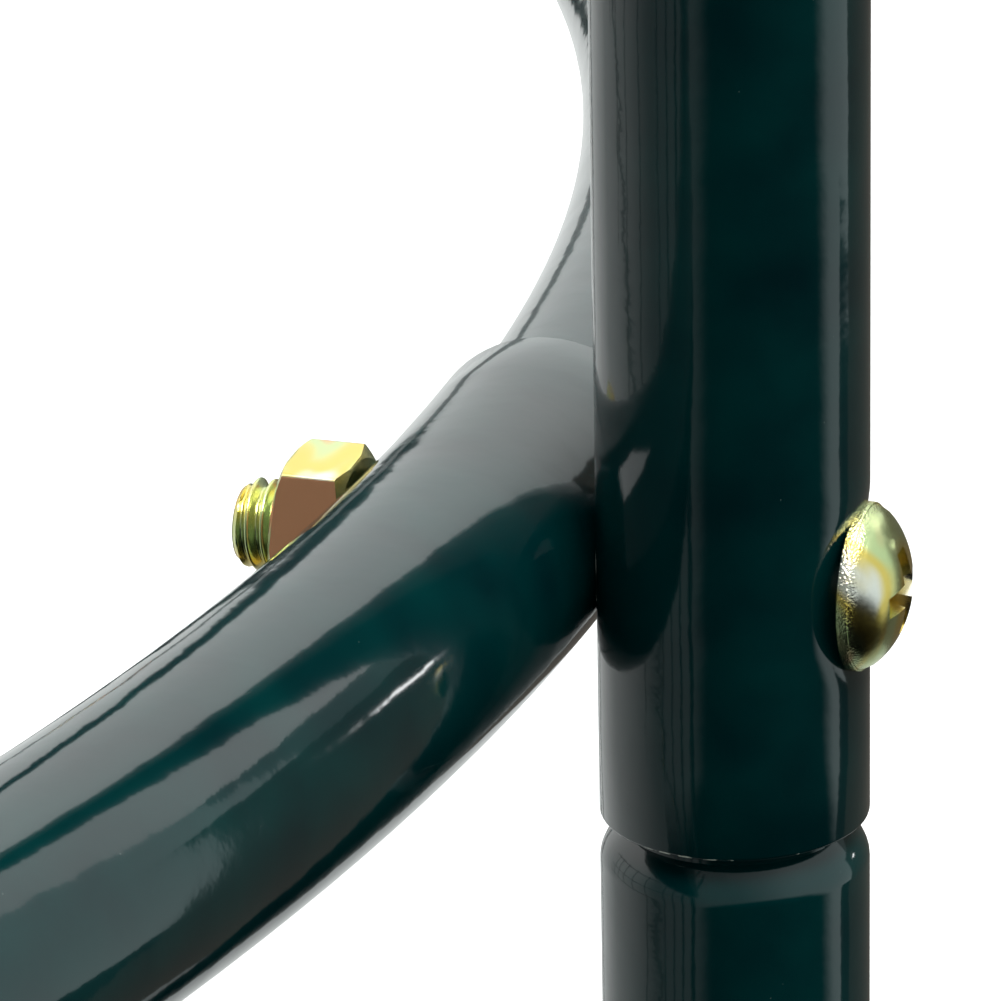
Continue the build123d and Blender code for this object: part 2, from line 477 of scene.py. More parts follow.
def feed(tree, node, **values):
    """Set a node's inputs, linked or plain, and its properties, by name."""
    for key, value in values.items():
        socket = node.inputs.get(key.replace("_", " "))
        if socket is None:
            setattr(node, key, value)
        else:
            set_socket(tree, socket, value)
    return node


def shader_node(tree, kind, **values):
    return feed(tree, tree.nodes.new(f"ShaderNode{kind}"), **values)


def object_place(tree):
    """The point on the surface, in the object's own coordinates."""
    return shader_node(tree, "TexCoord").outputs["Object"]


def maths(tree, operation, *values):
    """The result of a Math node whose inputs are linked or plain."""
    made = shader_node(tree, "Math", operation=operation)
    for socket, value in zip(made.inputs, values):
        set_socket(tree, socket, value)
    return made.outputs[0]


def noise(tree, place, scale, detail, **values):
    return shader_node(tree, "TexNoise", Vector=place, Scale=scale, Detail=detail, **values).outputs["Fac"]


def mesh_mask(tree, name):
    """A mask that the mesh carries."""
    return shader_node(tree, "Attribute", attribute_name=name).outputs["Fac"]


def bump(tree, height, strength, distance, **values):
    """A normal from a height."""
    made = shader_node(tree, "Bump", Strength=strength, Distance=distance, Height=height, **values)
    return made.outputs["Normal"]


def ramp(tree, value, start, finish, low=0.0, high=1.0, easing="SMOOTHSTEP"):
    """A run from low to high as a value goes from start to finish."""
    run = shader_node(tree, "MapRange", interpolation_type=easing, Value=value)
    feed(tree, run, From_Min=start, From_Max=finish, To_Min=low, To_Max=high)
    return run.outputs["Result"]


def mix_values(tree, mask, low, high):
    """A number that runs from low to high with a mask."""
    return ramp(tree, mask, 0.0, 1.0, low, high, "LINEAR")


def mix_colours(tree, mask, under, over):
    """A colour, plain or linked, laid over another by a mask."""
    mix = shader_node(tree, "Mix", data_type="RGBA")
    set_socket(tree, mix.inputs[0], mask)
    for socket, colour in ((mix.inputs[6], under), (mix.inputs[7], over)):
        linked = isinstance(colour, bpy.types.NodeSocket)
        set_socket(tree, socket, colour if linked else (*colour, 1))
    return mix.outputs[2]


FLOAT = "NodeSocketFloat"
COLOUR = "NodeSocketColor"
ENAMEL_DUST = (0.03, 0.05, 0.045)
DUST = (0.2, 0.19, 0.17)


def new_group(name, inputs, outputs):
    """A shader node group with inputs (name, kind, default) and outputs (name, kind), and its two ends."""
    group = bpy.data.node_groups.new(name, "ShaderNodeTree")
    for label, kind, value in inputs:
        socket = group.interface.new_socket(label, in_out="INPUT", socket_type=kind)
        socket.default_value = value
    for label, kind in outputs:
        group.interface.new_socket(label, in_out="OUTPUT", socket_type=kind)
    return group, group.nodes.new("NodeGroupInput").outputs, group.nodes.new("NodeGroupOutput")


def peel_group():
    """The long, low waves of a thick wet coat, as a height."""
    inputs = [("Wave", FLOAT, 160.0), ("Ripple", FLOAT, 900.0), ("Ripple share", FLOAT, 0.2)]
    group, given, out = new_group("Orange peel", inputs, [("Height", FLOAT)])
    place = object_place(group)
    wave = noise(group, place, given["Wave"], 1.0)
    ripple = noise(group, place, given["Ripple"], 2.0)
    feed(group, out, Height=maths(group, "MULTIPLY_ADD", ripple, given["Ripple share"], wave))
    return group


def specks_group():
    """Small round specks of dust or grit, as a mask."""
    inputs = [("Scale", FLOAT, 900.0), ("Size", FLOAT, 0.1), ("Share", FLOAT, 0.2)]
    group, given, out = new_group("Specks", inputs, [("Mask", FLOAT)])
    cells = shader_node(group, "TexVoronoi", feature="F1", Vector=object_place(group), Scale=given["Scale"])
    tint = shader_node(group, "SeparateColor", Color=cells.outputs["Color"])
    small = maths(group, "LESS_THAN", cells.outputs["Distance"], given["Size"])
    chosen = maths(group, "LESS_THAN", tint.outputs[0], given["Share"])
    feed(group, out, Mask=maths(group, "MULTIPLY", small, chosen))
    return group


def chips_group():
    """Where a coat has chipped off a rim, as a mask. It reads the rim mask of the mesh."""
    group, given, out = new_group(
        "Rim chips", [("Scale", FLOAT, 1400.0), ("Loss", FLOAT, 0.5)], [("Mask", FLOAT)]
    )
    place = object_place(group)
    flakes = noise(group, place, given["Scale"], 3.0, Roughness=0.7)
    patches = noise(group, place, 180.0, 0.0)
    grain = maths(group, "MULTIPLY", flakes, patches)
    worn = maths(group, "MULTIPLY", grain, mesh_mask(group, "rim"))
    threshold = maths(group, "SUBTRACT", 0.6, given["Loss"])
    feed(group, out, Mask=maths(group, "GREATER_THAN", worn, threshold))
    return group


def film_group():
    """The drifting interference colours of a passivated zinc coat. The mesh's tone mask shifts them."""
    inputs = [
        ("Scale", FLOAT, 260.0),
        ("Thin", COLOUR, (0.9, 0.9, 0.8, 1)),
        ("Yellow", COLOUR, (0.8, 0.6, 0.2, 1)),
        ("Green", COLOUR, (0.6, 0.7, 0.4, 1)),
        ("Rose", COLOUR, (0.6, 0.4, 0.3, 1)),
    ]
    group, given, out = new_group("Passivate film", inputs, [("Color", COLOUR), ("Grain", FLOAT)])
    place = object_place(group)
    drift = noise(group, place, given["Scale"], 2.0, Distortion=0.6)
    thickness = maths(group, "ADD", drift, mesh_mask(group, "tone"))
    colour = given["Thin"]
    for label, low, high in (("Yellow", 0.36, 0.46), ("Green", 0.47, 0.56), ("Rose", 0.58, 0.66)):
        colour = mix_colours(group, ramp(group, thickness, low, high), colour, given[label])
    feed(group, out, Color=colour, Grain=noise(group, place, 3800.0, 2.0))
    return group


def group_node(tree, name, maker, **values):
    """A group placed in a material, made on its first use."""
    placed = tree.nodes.new("ShaderNodeGroup")
    placed.node_tree = bpy.data.node_groups.get(name) or maker()
    return feed(tree, placed, **values)


def new_material(name, **values):
    """A material with a Principled BSDF whose plain values are set on its own sockets."""
    material = bpy.data.materials.new(name)
    material.use_nodes = True
    tree = material.node_tree
    return material, tree, feed(tree, tree.nodes["Principled BSDF"], **values)


def enamel_material():
    colours = bpy.context.scene.arch_colours
    material, tree, shader = new_material(
        "Green enamel", IOR=1.5, Coat_Weight=0.2, Coat_Roughness=0.03, Coat_IOR=1.5
    )
    peel = group_node(tree, "Orange peel", peel_group, Wave=170.0, Ripple=700.0, Ripple_share=0.16)
    specks = group_node(tree, "Specks", specks_group, Scale=1300.0, Size=0.06, Share=0.07)
    chips = group_node(tree, "Rim chips", chips_group, Scale=2400.0, Loss=0.42)
    chipped, height = chips.outputs["Mask"], peel.outputs["Height"]
    coat = mix_colours(tree, height, colours.enamel_deep, colours.enamel)
    dusty = mix_colours(tree, specks.outputs["Mask"], coat, ENAMEL_DUST)
    waves = bump(tree, height, 0.6, 0.1 * MM)
    feed(
        tree,
        shader,
        Base_Color=mix_colours(tree, chipped, dusty, colours.primer),
        Roughness=mix_values(tree, chipped, 0.09, 0.7),
        Normal=waves,
        Coat_Normal=waves,
    )
    return material


def zinc_material():
    colours = bpy.context.scene.arch_colours
    material, tree, shader = new_material("Yellow zinc plate", Metallic=1.0)
    tints = {"Thin": colours.silver, "Yellow": colours.gold, "Green": colours.lime, "Rose": colours.rose}
    shades = {name: (*tint, 1) for name, tint in tints.items()}
    film = group_node(tree, "Passivate film", film_group, Scale=110.0, **shades)
    grain = film.outputs["Grain"]
    pits = noise(tree, object_place(tree), 6500.0, 2.0)
    stipple = bump(tree, maths(tree, "MULTIPLY", pits, mesh_mask(tree, "rim")), 0.8, 0.12 * MM)
    feed(
        tree,
        shader,
        Base_Color=film.outputs["Color"],
        Roughness=mix_values(tree, grain, 0.16, 0.30),
        Normal=bump(tree, grain, 0.15, 0.02 * MM, Normal=stipple),
    )
    return material


def moulded_material(name, colour, roughness, grain_scale, dust):
    """Moulded plastic or rubber with a fine spark-eroded grain and a little dust."""
    material, tree, shader = new_material(name)
    specks = group_node(tree, "Specks", specks_group, Scale=grain_scale * 0.2, Size=0.12, Share=dust)
    grain = group_node(
        tree, "Orange peel", peel_group, Wave=grain_scale * 0.3, Ripple=grain_scale, Ripple_share=0.9
    )
    height = grain.outputs["Height"]
    lighter = tuple(min(1.0, channel * 2.2 + 0.01) for channel in colour)
    base = mix_colours(tree, height, colour, lighter)
    feed(
        tree,
        shader,
        Base_Color=mix_colours(tree, specks.outputs["Mask"], base, DUST),
        Roughness=mix_values(tree, height, roughness, roughness + 0.15),
        Normal=bump(tree, height, 0.4, 0.05 * MM),
    )
    return material


def floor_material():
    colours = bpy.context.scene.arch_colours
    material, tree, shader = new_material(
        "Pale floor", Roughness=0.9, Specular_IOR_Level=0.1, Emission_Color=(1, 1, 1, 1)
    )
    drift = noise(tree, object_place(tree), 0.6, 3.0)
    paler = tuple(min(1.0, channel * 1.03) for channel in colours.floor)
    # The camera sees the floor a little lifted, so that it stays pale far from the lamps.
    seen = shader_node(tree, "LightPath").outputs["Is Camera Ray"]
    feed(
        tree,
        shader,
        Base_Color=mix_colours(tree, drift, colours.floor, paler),
        Emission_Strength=mix_values(tree, seen, 0.0, 0.6),
    )
    return material


def material_named(name, maker):
    return bpy.data.materials.get(name) or maker()


# ------------------------------------------------------------------ tubes

def tube_radii():
    """A tube's skin, its bore and the skin of its neck."""
    tubes = bpy.context.scene.arch_tubes
    return TUBE / 2, TUBE / 2 - tubes.wall, tubes.neck / 2


def rings_over(length, spacing):
    return max(1, round(length / spacing))


def open_end(pen, radius):
    """Rings from the bore to the skin of a tube's plain end, going forwards."""
    pen.out_to(radius - RIM)
    pen.rounded(radius, RIM)


def close_end(pen, bore):
    """Rings from the skin over the end and into the bore."""
    pen.rounded(pen.radius - RIM, RIM)
    pen.out_to(bore)


def draw_straight(pen, stops, length, turned_at=None, neck=None):
    """Run straight for a length, with fine rings round each stop. Past turned_at it is a neck."""
    tubes = bpy.context.scene.arch_tubes
    done = RIM
    for stop in stops:
        start = stop - CROSSING_REACH
        if turned_at is not None and start > turned_at > done:
            pen.straight(turned_at - done)
            ease_into_neck(pen, neck)
            done = turned_at + tubes.taper
        if start > done:
            pen.straight(start - done)
            done = start
        finish = min(stop + CROSSING_REACH, length - RIM)
        pen.straight(finish - done, rings_over(finish - done, FINE))
        done = finish
    if length - RIM > done:
        pen.straight(length - RIM - done)


def ease_into_neck(pen, neck):
    """The drawn-down shoulder, which rounds over and dives under the sleeve."""
    step = bpy.context.scene.arch_tubes.taper / TAPER_STEPS
    full = pen.radius
    for number in range(1, TAPER_STEPS + 1):
        pen.straight(step)
        pen.swell_to(neck + (full - neck) * cos(pi / 2 * (number / TAPER_STEPS)))


def hollow_back(pen, bore, length, turned_at):
    """From a neck's end back down the bore to where the tube began."""
    taper = bpy.context.scene.arch_tubes.taper
    pen.straight(-(length - turned_at - taper))
    pen.cone(-taper, bore)
    pen.straight(-turned_at)


def rail_section(front):
    """One section of rail in a crossing's own axes, with the middle bow's screw at the origin."""
    tubes = bpy.context.scene.arch_tubes
    skin, bore, neck = tube_radii()
    if front:
        start, finish = RAIL_ENDS[0], tubes.lap
        crossings = (BOW_Y["front"], 0.0)
        turned_at = -start - tubes.lap - tubes.straight_neck - tubes.taper
    else:
        start, finish = -tubes.lap, RAIL_ENDS[1]
        crossings = (0.0, BOW_Y["rear"])
        turned_at = None
    length = finish - start
    pen = Turning("rail", (0, start, 0), REARWARDS, bore, tubes.around)
    open_end(pen, skin)
    draw_straight(pen, [y - start for y in crossings], length, turned_at, neck)
    if front:
        close_end(pen, neck - tubes.wall)
        hollow_back(pen, bore, length, turned_at)
    else:
        close_end(pen, bore)
        pen.straight(-length)
    rail = pen.done()
    # The front section's neck is inside the sleeve at the middle bow, so nothing presses it there.
    for y in crossings[:1] if front else crossings:
        press_sides(rail, (0, y, 0), (1, 0, 0), HEAD_SEAT, HEAD_LIP)
    mark_rims(rail, () if front else ring_points(Vector((0, start, 0)), REARWARDS, skin))
    smooth(rail)
    return rail


def ring_points(centre, along, radius, count=180):
    """Points round a ring."""
    side = along.orthogonal().normalized()
    other = along.cross(side)
    return [
        centre + radius * (cos(2 * pi * step / count) * side + sin(2 * pi * step / count) * other)
        for step in range(count)
    ]


def arc_stops(pen, pivot, radius, start, finish, stops=()):
    """Bend from one angle to another about a pivot, with fine rings round each stop."""
    done = start
    reach = CROSSING_REACH / radius
    for stop in stops:
        edge = max(done, stop - reach)
        if edge > done:
            pen.bend(pivot, edge - done, rings_over((edge - done) * radius, COARSE))
        far = min(finish, stop + reach)
        pen.bend(pivot, far - edge, rings_over((far - edge) * radius, FINE))
        done = far
    if finish > done:
        pen.bend(pivot, finish - done, rings_over((finish - done) * radius, COARSE))


def bow_crossings(piece, names):
    """Dent a bow's tube under its nuts and against its rails."""
    for name in names:
        place, turn = crossing(name)
        outwards = Vector((cos(turn), 0, sin(turn)))
        centre = place - outwards * rail_gap()
        press_sides(piece, centre, -outwards, NUT_SEAT, NUT_LIP)


def lower_leg():
    tubes = bpy.context.scene.arch_tubes
    skin, bore, neck = tube_radii()
    length = LEG_JOINT_Z + tubes.lap - LEG_FOOT_Z
    stops = [crossing(f"right_{number}")[0].z - LEG_FOOT_Z for number in (1, 2, 3)]
    turned_at = length - 2 * tubes.lap - tubes.straight_neck - tubes.taper
    pen = Turning("lower_leg", (LEG_X, 0, LEG_FOOT_Z), UP, bore, tubes.around)
    open_end(pen, skin)
    draw_straight(pen, stops, length, turned_at, neck)
    close_end(pen, neck - tubes.wall)
    hollow_back(pen, bore, length, turned_at)
    leg = pen.done()
    bow_crossings(leg, ["right_1", "right_2"])
    mark_rims(leg)
    smooth(leg)
    return leg


def upper_leg():
    tubes = bpy.context.scene.arch_tubes
    skin, bore, neck = tube_radii()
    base = LEG_JOINT_Z - tubes.lap
    pivot, radius = shoulder_pivot(), tubes.shoulder_radius
    neck_from = tubes.joint_turn - (tubes.lap + tubes.shoulder_neck) / radius
    taper = tubes.taper / radius
    finish = tubes.joint_turn + tubes.lap / radius
    stops = [crossing(f"right_{number}")[0].z - base for number in (3, 4, 5)]
    pen = Turning("upper_leg", (LEG_X, 0, base), UP, bore, tubes.around)
    open_end(pen, skin)
    draw_straight(pen, stops, tubes.springing - base + RIM)
    arc_stops(pen, pivot, radius, 0, neck_from - taper)
    for number in range(1, TAPER_STEPS + 1):
        pen.bend(pivot, taper / TAPER_STEPS, 1)
        pen.swell_to(skin + (neck - skin) * (1 - cos(pi * number / TAPER_STEPS)) / 2)
    arc_stops(pen, pivot, radius, neck_from, finish)
    pen.out_to(neck - tubes.wall)
    pen.bend(pivot, neck_from - finish, rings_over((finish - neck_from) * radius, BORE_STEP))
    pen.bend(pivot, -taper, 1)
    pen.swell_to(bore)
    pen.bend(pivot, taper - neck_from, rings_over(neck_from * radius, BORE_STEP))
    pen.straight(base - tubes.springing)
    leg = pen.done()
    bow_crossings(leg, ["right_3", "right_4", "right_5"])
    mark_rims(leg, ring_points(Vector((LEG_X, 0, base)), UP, skin))
    smooth(leg)
    return leg


def crown():
    tubes = bpy.context.scene.arch_tubes
    skin, bore, _ = tube_radii()
    radius, arc = tubes.shoulder_radius, tubes.shoulder_turn
    low = tubes.joint_turn - tubes.lap / radius
    right, top = shoulder_pivot(), crown_pivot()
    left = Vector((-right.x, 0, right.z))
    top_radius = (bow_axis(pi / 2) - top).length
    start = bow_axis(low)
    along = Vector((-sin(low), 0, cos(low)))
    rim = RIM / radius
    pen = Turning("crown", start, along, bore, tubes.around)
    open_end(pen, skin)
    arc_stops(pen, right, radius, low + rim, arc, [tubes.joint_turn])
    crown_turns = [pi / 2 - tubes.crown_step, pi / 2, pi / 2 + tubes.crown_step]
    arc_stops(pen, top, top_radius, arc, pi - arc, crown_turns)
    arc_stops(pen, left, radius, pi - arc, pi - low - rim, [pi - tubes.joint_turn])
    close_end(pen, bore)
    back = ((left, arc - low, radius), (top, pi - 2 * arc, top_radius), (right, arc - low, radius))
    for pivot, turn, reach in back:
        pen.bend(pivot, -turn, rings_over(turn * reach, CROWN_BORE_STEP))
    whole = pen.done()
    bow_crossings(whole, ["shoulder_right", "crown_right", "ridge", "crown_left", "shoulder_left"])
    end, mirrored = Vector((-start.x, 0, start.z)), Vector((-along.x, 0, along.z))
    mark_rims(whole, ring_points(start, along, skin) + ring_points(end, mirrored, skin))
    smooth(whole)
    return whole


class ARCH_OT_bows(Operator):
    """Make the five tubes of each bow"""

    bl_idname = "arch.bows"
    bl_label = "Make the bows"

    def execute(self, context):
        enamel = material_named("Green enamel", enamel_material)
        shapes = {
            "lower_leg_right": (lower_leg(), Matrix()),
            "upper_leg_right": (upper_leg(), Matrix()),
            "crown": (crown(), Matrix()),
        }
        for part in ("lower_leg", "upper_leg"):
            shapes[f"{part}_left"] = (shapes[f"{part}_right"][0], MIRROR_X)
        for bow, y in BOW_Y.items():
            for part, (shape, turn) in shapes.items():
                piece = copy_of(shape, f"{bow}_{part}_tube", Matrix.Translation((0, y, 0)) @ turn)
                dress(piece, enamel, "green_enamel", f"{bow}_{part}")
        discard(*{shape for shape, _ in shapes.values()})
        return {"FINISHED"}


class ARCH_OT_rails(Operator):
    """Make the two sections of every rail"""

    bl_idname = "arch.rails"
    bl_label = "Make the rails"

    def execute(self, context):
        enamel = material_named("Green enamel", enamel_material)
        sections = {"front": rail_section(True), "rear": rail_section(False)}
        for name in crossing_names():
            for end, shape in sections.items():
                piece = copy_of(shape, f"rail_{name}_{end}_tube", crossing_matrix(name))
                dress(piece, enamel, "green_enamel", f"rail_{name}_{end}")
        discard(*sections.values())
        return {"FINISHED"}


# ------------------------------------------------------------------ screws and nuts


def seat_height():
    """From a tube's axis to the face that a head or a nut bears on."""
    return TUBE / 2 - bpy.context.scene.arch_tubes.press


def cross_cutter(top, depth, width, length):
    """Two crossed bars whose sides and ends lean in towards the bottom, for a driver's recess."""
    bars = []
    bottom = top - depth
    for turn in (0, pi / 2):
        pick()
        bpy.ops.mesh.primitive_cube_add(size=1, location=(0, 0, top - depth / 2))
        bar = bpy.context.object
        bar.scale = (length, width, depth)
        bar.rotation_euler = (0, 0, turn)
        new_piece("bar")
        select_vertices(bar, lambda point: point.z < bottom + depth / 2)
        bpy.ops.transform.resize(value=(RECESS_LEAN, RECESS_LEAN, 1), center_override=(0, 0, bottom))
        bpy.ops.object.mode_set(mode="OBJECT")
        bars.append(bar)
    cut_with(bars[0], bars[1], "UNION")
    return bars[0]


RECESS_LEAN = 0.42  # a recess's size at its bottom, as a share of its size at the top


def screw_head():
    """A domed head on +Z, with its underside at the origin, a stippled band and a cross recess."""
    sizes = bpy.context.scene.arch_fasteners
    head, height, core = sizes.head / 2, sizes.head_height, sizes.thread / 2
    band, rim = 0.75 * MM, 0.16 * MM
    pen = Turning("screw_head", (0, 0, 0), UP, core, 96)
    pen.out_to(head - rim)
    pen.rounded(head, rim)
    pen.straight(band - 2 * rim, 2)
    pen.rounded(head - rim * 0.8, rim)
    # The dome is part of a ball, swollen towards half an egg.
    dome_from, rise, swollen, steps = pen.radius, height - band, 0.4, 16
    ball = (dome_from**2 + rise**2) / (2 * rise)
    for number in range(1, steps + 1):
        radius = dome_from * (1 - number / steps)
        cap = sqrt(ball**2 - radius**2) - (ball - rise)
        egg = rise * sqrt(max(0.0, 1 - (radius / dome_from) ** 2))
        level = band + (1 - swollen) * cap + swollen * egg
        pen.straight(level - pen.centre.z)
        pen.swell_to(max(radius, AXIS_HOLE))
    pen.lidded()
    shape = pen.piece
    select_vertices(shape, lambda point: abs(point.z) < 1e-7)
    pen.lidded()
    bpy.ops.object.mode_set(mode="OBJECT")
    close_up(shape)
    cut_with(shape, cross_cutter(height + 0.3 * MM, 2.4 * MM, 1.7 * MM, 6.8 * MM))
    return shape


def thread_depth(angle, along, pitch):
    """How far below the crest a thread lies, as a share of its depth, with a flat at crest and root."""
    phase = (along / pitch - angle / (2 * pi)) % 1.0
    away = abs(phase - 0.5) * 2
    flat = 0.12
    return min(1.0, max(0.0, (away - flat) / (1 - 2 * flat)))


def shank():
    """The threaded end of a screw along -Z from the origin, closed at both ends."""
    sizes = bpy.context.scene.arch_fasteners
    length = 2 * seat_height() + rail_gap() + sizes.nut_height + sizes.shown
    threaded = sizes.shown + 1.2 * sizes.pitch
    crest, depth = sizes.thread / 2, 0.58 * sizes.pitch
    rings_a_turn = 12
    pen = Turning("screw_shank", (0, 0, -length), UP, AXIS_HOLE, 56)
    pen.lidded()
    pen.out_to(crest - depth)
    pen.out_to(crest)
    pen.straight(threaded, round(threaded / (sizes.pitch / rings_a_turn)))
    pen.straight(length - threaded)
    pen.out_to(AXIS_HOLE)
    pen.lidded()
    bolt = pen.done()
    # The thread is a helix, which no ring can give, so its points are moved in or out one by one.
    chamfer = 0.62 * MM
    for vertex in bolt.data.vertices:
        across = sqrt(vertex.co.x**2 + vertex.co.y**2)
        up = vertex.co.z + length
        if across < crest - 1e-6 or up > threaded - 0.3 * sizes.pitch:
            continue
        angle = turn_of(vertex.co.x, vertex.co.y)
        wanted = crest - depth * thread_depth(angle, vertex.co.z, sizes.pitch)
        wanted = min(wanted, crest - chamfer + up)
        vertex.co.x *= wanted / across
        vertex.co.y *= wanted / across
    return bolt


def turn_of(x, y):
    """The angle of a point round Z."""
    return Vector((x, y)).angle_signed(Vector((1, 0))) if (x or y) else 0.0


def screw():
    """Head and shank, in a crossing's own axes."""
    head, bolt = screw_head(), shank()
    mark_band(head)
    mark_rims(bolt)
    tone = bolt.data.attributes.new("tone", "FLOAT", "FACE")
    for value in tone.data:
        value.value = SHANK_TONE
    smooth(head, radians(28))
    smooth(bolt, radians(50))
    whole = joined([head, bolt], "screw")
    whole.data.transform(Matrix.Translation((seat_height(), 0, 0)) @ Matrix.Rotation(pi / 2, 4, "Y"))
    return whole


def mark_band(head):
    """The mask of the stippled band under the dome."""
    sizes = bpy.context.scene.arch_fasteners
    mask = head.data.attributes.new("rim", "FLOAT", "POINT")
    for vertex, value in zip(head.data.vertices, mask.data):
        across = sqrt(vertex.co.x**2 + vertex.co.y**2)
        value.value = 1.0 if across > sizes.head / 2 - 0.35 * MM and vertex.co.z < 0.9 * MM else 0.0


def nut():
    """A hexagon nut in a crossing's own axes, chamfered at both faces, with a drilled bore."""
    sizes = bpy.context.scene.arch_fasteners
    corners, height = sizes.flats / 2 / cos(pi / 6), sizes.nut_height
    pick()
    bpy.ops.mesh.primitive_cylinder_add(
        vertices=6, radius=corners, depth=height, location=(0, 0, height / 2), rotation=(0, 0, pi / 6)
    )
    body = new_piece("nut")
    apply_modifier(body, "BEVEL", width=0.26 * MM, segments=3, limit_method="ANGLE", angle_limit=radians(40))
    # A turned blank takes off the corners at both faces, at 30 degrees.
    face = sizes.flats / 2 - 0.15 * MM
    clear_of_corners = corners + 0.2 * MM
    lead = (clear_of_corners - face) * tan(radians(30))
    pen = Turning("turned", (0, 0, 0), UP, face, 128)
    pen.lidded()
    pen.cone(lead, clear_of_corners)
    pen.straight(height - 2 * lead)
    pen.cone(lead, face)
    pen.lidded()
    cut_with(body, pen.done(), "INTERSECT")
    # The drill starts 0.1 mm outside, and its countersinks end as far outside.
    bore = sizes.thread / 2 + 0.03 * MM
    sink = 0.45 * MM
    pen = Turning("drill", (0, 0, -0.1 * MM), UP, bore + sink, 64)
    pen.lidded()
    pen.cone(sink, bore)
    pen.straight(height - 0.7 * MM)
    pen.cone(sink, bore + sink)
    pen.lidded()
    cut_with(body, pen.done())
    close_up(body, 0.001 * MM)
    mark_rims(body)
    tone_flats(body)
    smooth(body, radians(24))
    inner_face = -rail_gap() - seat_height()
    body.data.transform(Matrix.Translation((inner_face, 0, 0)) @ Matrix.Rotation(-pi / 2, 4, "Y"))
    return body


def tone_flats(body):
    """Each flat of a nut took its own thickness of film."""
    tone = body.data.attributes.new("tone", "FLOAT", "FACE")
    for face, value in zip(body.data.polygons, tone.data):
        if abs(face.normal.z) < 0.1:
            flat = floor(turn_of(face.normal.x, face.normal.y) / (pi / 3)) % 6
            value.value = FLAT_TONES[flat]


def fastener_copies(shape, label, bow, first_turn):
    """One shape at every crossing of a bow, each turned its own way about its screw."""
    copies = []
    for number, name in enumerate(crossing_names()):
        shown = bow == "middle" and name == "shoulder_right"
        turn = first_turn if shown else first_turn + LOOSE_TURN * (number + 1)
        matrix = crossing_matrix(name, BOW_Y[bow]) @ Matrix.Rotation(turn, 4, "X")
        copies.append(copy_of(shape, f"{label}_{number}", matrix))
    return joined(copies, f"{bow}_{label}")


class ARCH_OT_screws(Operator):
    """Make a domed screw for every crossing"""

    bl_idname = "arch.screws"
    bl_label = "Make the screws"

    def execute(self, context):
        zinc = material_named("Yellow zinc plate", zinc_material)
        shape = screw()
        for bow in BOW_Y:
            piece = fastener_copies(shape, "screws", bow, SHOWN_SCREW_TURN)
            dress(piece, zinc, "zinc_plate", f"{bow}_bow_screws")
        discard(shape)
        return {"FINISHED"}


class ARCH_OT_nuts(Operator):
    """Make a hexagon nut for every crossing"""

    bl_idname = "arch.nuts"
    bl_label = "Make the nuts"

    def execute(self, context):
        zinc = material_named("Yellow zinc plate", zinc_material)
        shape = nut()
        for bow in BOW_Y:
            piece = fastener_copies(shape, "nuts", bow, SHOWN_NUT_TURN)
            dress(piece, zinc, "zinc_plate", f"{bow}_bow_nuts")
        discard(shape)
        return {"FINISHED"}


# ------------------------------------------------------------------ plugs and caps


def plug():
    """A plug for the rear end of a rail, along +Z from the rail's end."""
    skin, tube_bore, _ = tube_radii()
    bore = tube_bore - 0.05 * MM
    low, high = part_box("rail_plugs_rear")
    height, depth = high.y - RAIL_ENDS[1], RAIL_ENDS[1] - low.y
    centre_hole, rib = 0.3 * MM, 0.4 * MM
    pen = Turning("plug", (0, 0, -depth), UP, centre_hole, 64)
    pen.lidded()
    pen.out_to(bore - 1.2 * MM)
    pen.cone(1.6 * MM, bore - rib, 2)
    for _ in range(3):
        pen.cone(0.5 * MM, bore)
        pen.straight(0.7 * MM)
        pen.cone(0.3 * MM, bore - rib)
        pen.straight(1.5 * MM)
    pen.straight(-pen.centre.z)
    pen.out_to(skin - 0.1 * MM)
    pen.rounded(skin, 0.15 * MM, 2)
    pen.straight(0.9 * MM)
    crown_share = 0.72
    pen.rounded(skin * crown_share, (height - pen.centre.z) * crown_share, 6)
    level, wide, steps = pen.centre.z, pen.radius, 5
    for number in range(1, steps + 1):
        share = number / steps
        pen.straight(level + (height - level) * (1 - (1 - share) ** 2) - pen.centre.z)
        pen.swell_to(max(wide * (1 - share), centre_hole))
    pen.lidded()
    return moulded(pen)


def moulded(pen):
    """A moulding, taken from the pen with its masks and soft edges."""
    shape = pen.done()
    mark_rims(shape)
    smooth(shape, radians(40))
    return shape


def foot_cap():
    """A moulded cap for one leg, on the ground at the origin."""
    low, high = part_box("foot_caps")
    outer = (high.y - low.y - (BOW_Y["rear"] - BOW_Y["front"])) / 2
    height = high.z
    bore = TUBE / 2 + 0.05 * MM
    centre_hole, groove, lip = 0.3 * MM, 0.35 * MM, 0.5 * MM
    pen = Turning("cap", (0, 0, 0), UP, centre_hole, 64)
    pen.lidded()
    pen.out_to(outer - 1.5 * MM)
    pen.rounded(outer, 1.5 * MM, 5)
    pen.straight(5 * MM)
    for _ in range(3):
        pen.cone(0.3 * MM, outer - groove)
        pen.straight(1.0 * MM)
        pen.cone(0.3 * MM, outer)
        pen.straight(2.2 * MM)
    pen.cone(height - lip - pen.centre.z, outer - 0.45 * MM, 3)
    pen.rounded(outer - 0.95 * MM, lip, 4)
    pen.out_to(bore)
    pen.straight(LEG_FOOT_Z - height)
    pen.out_to(centre_hole)
    pen.lidded()
    return moulded(pen)


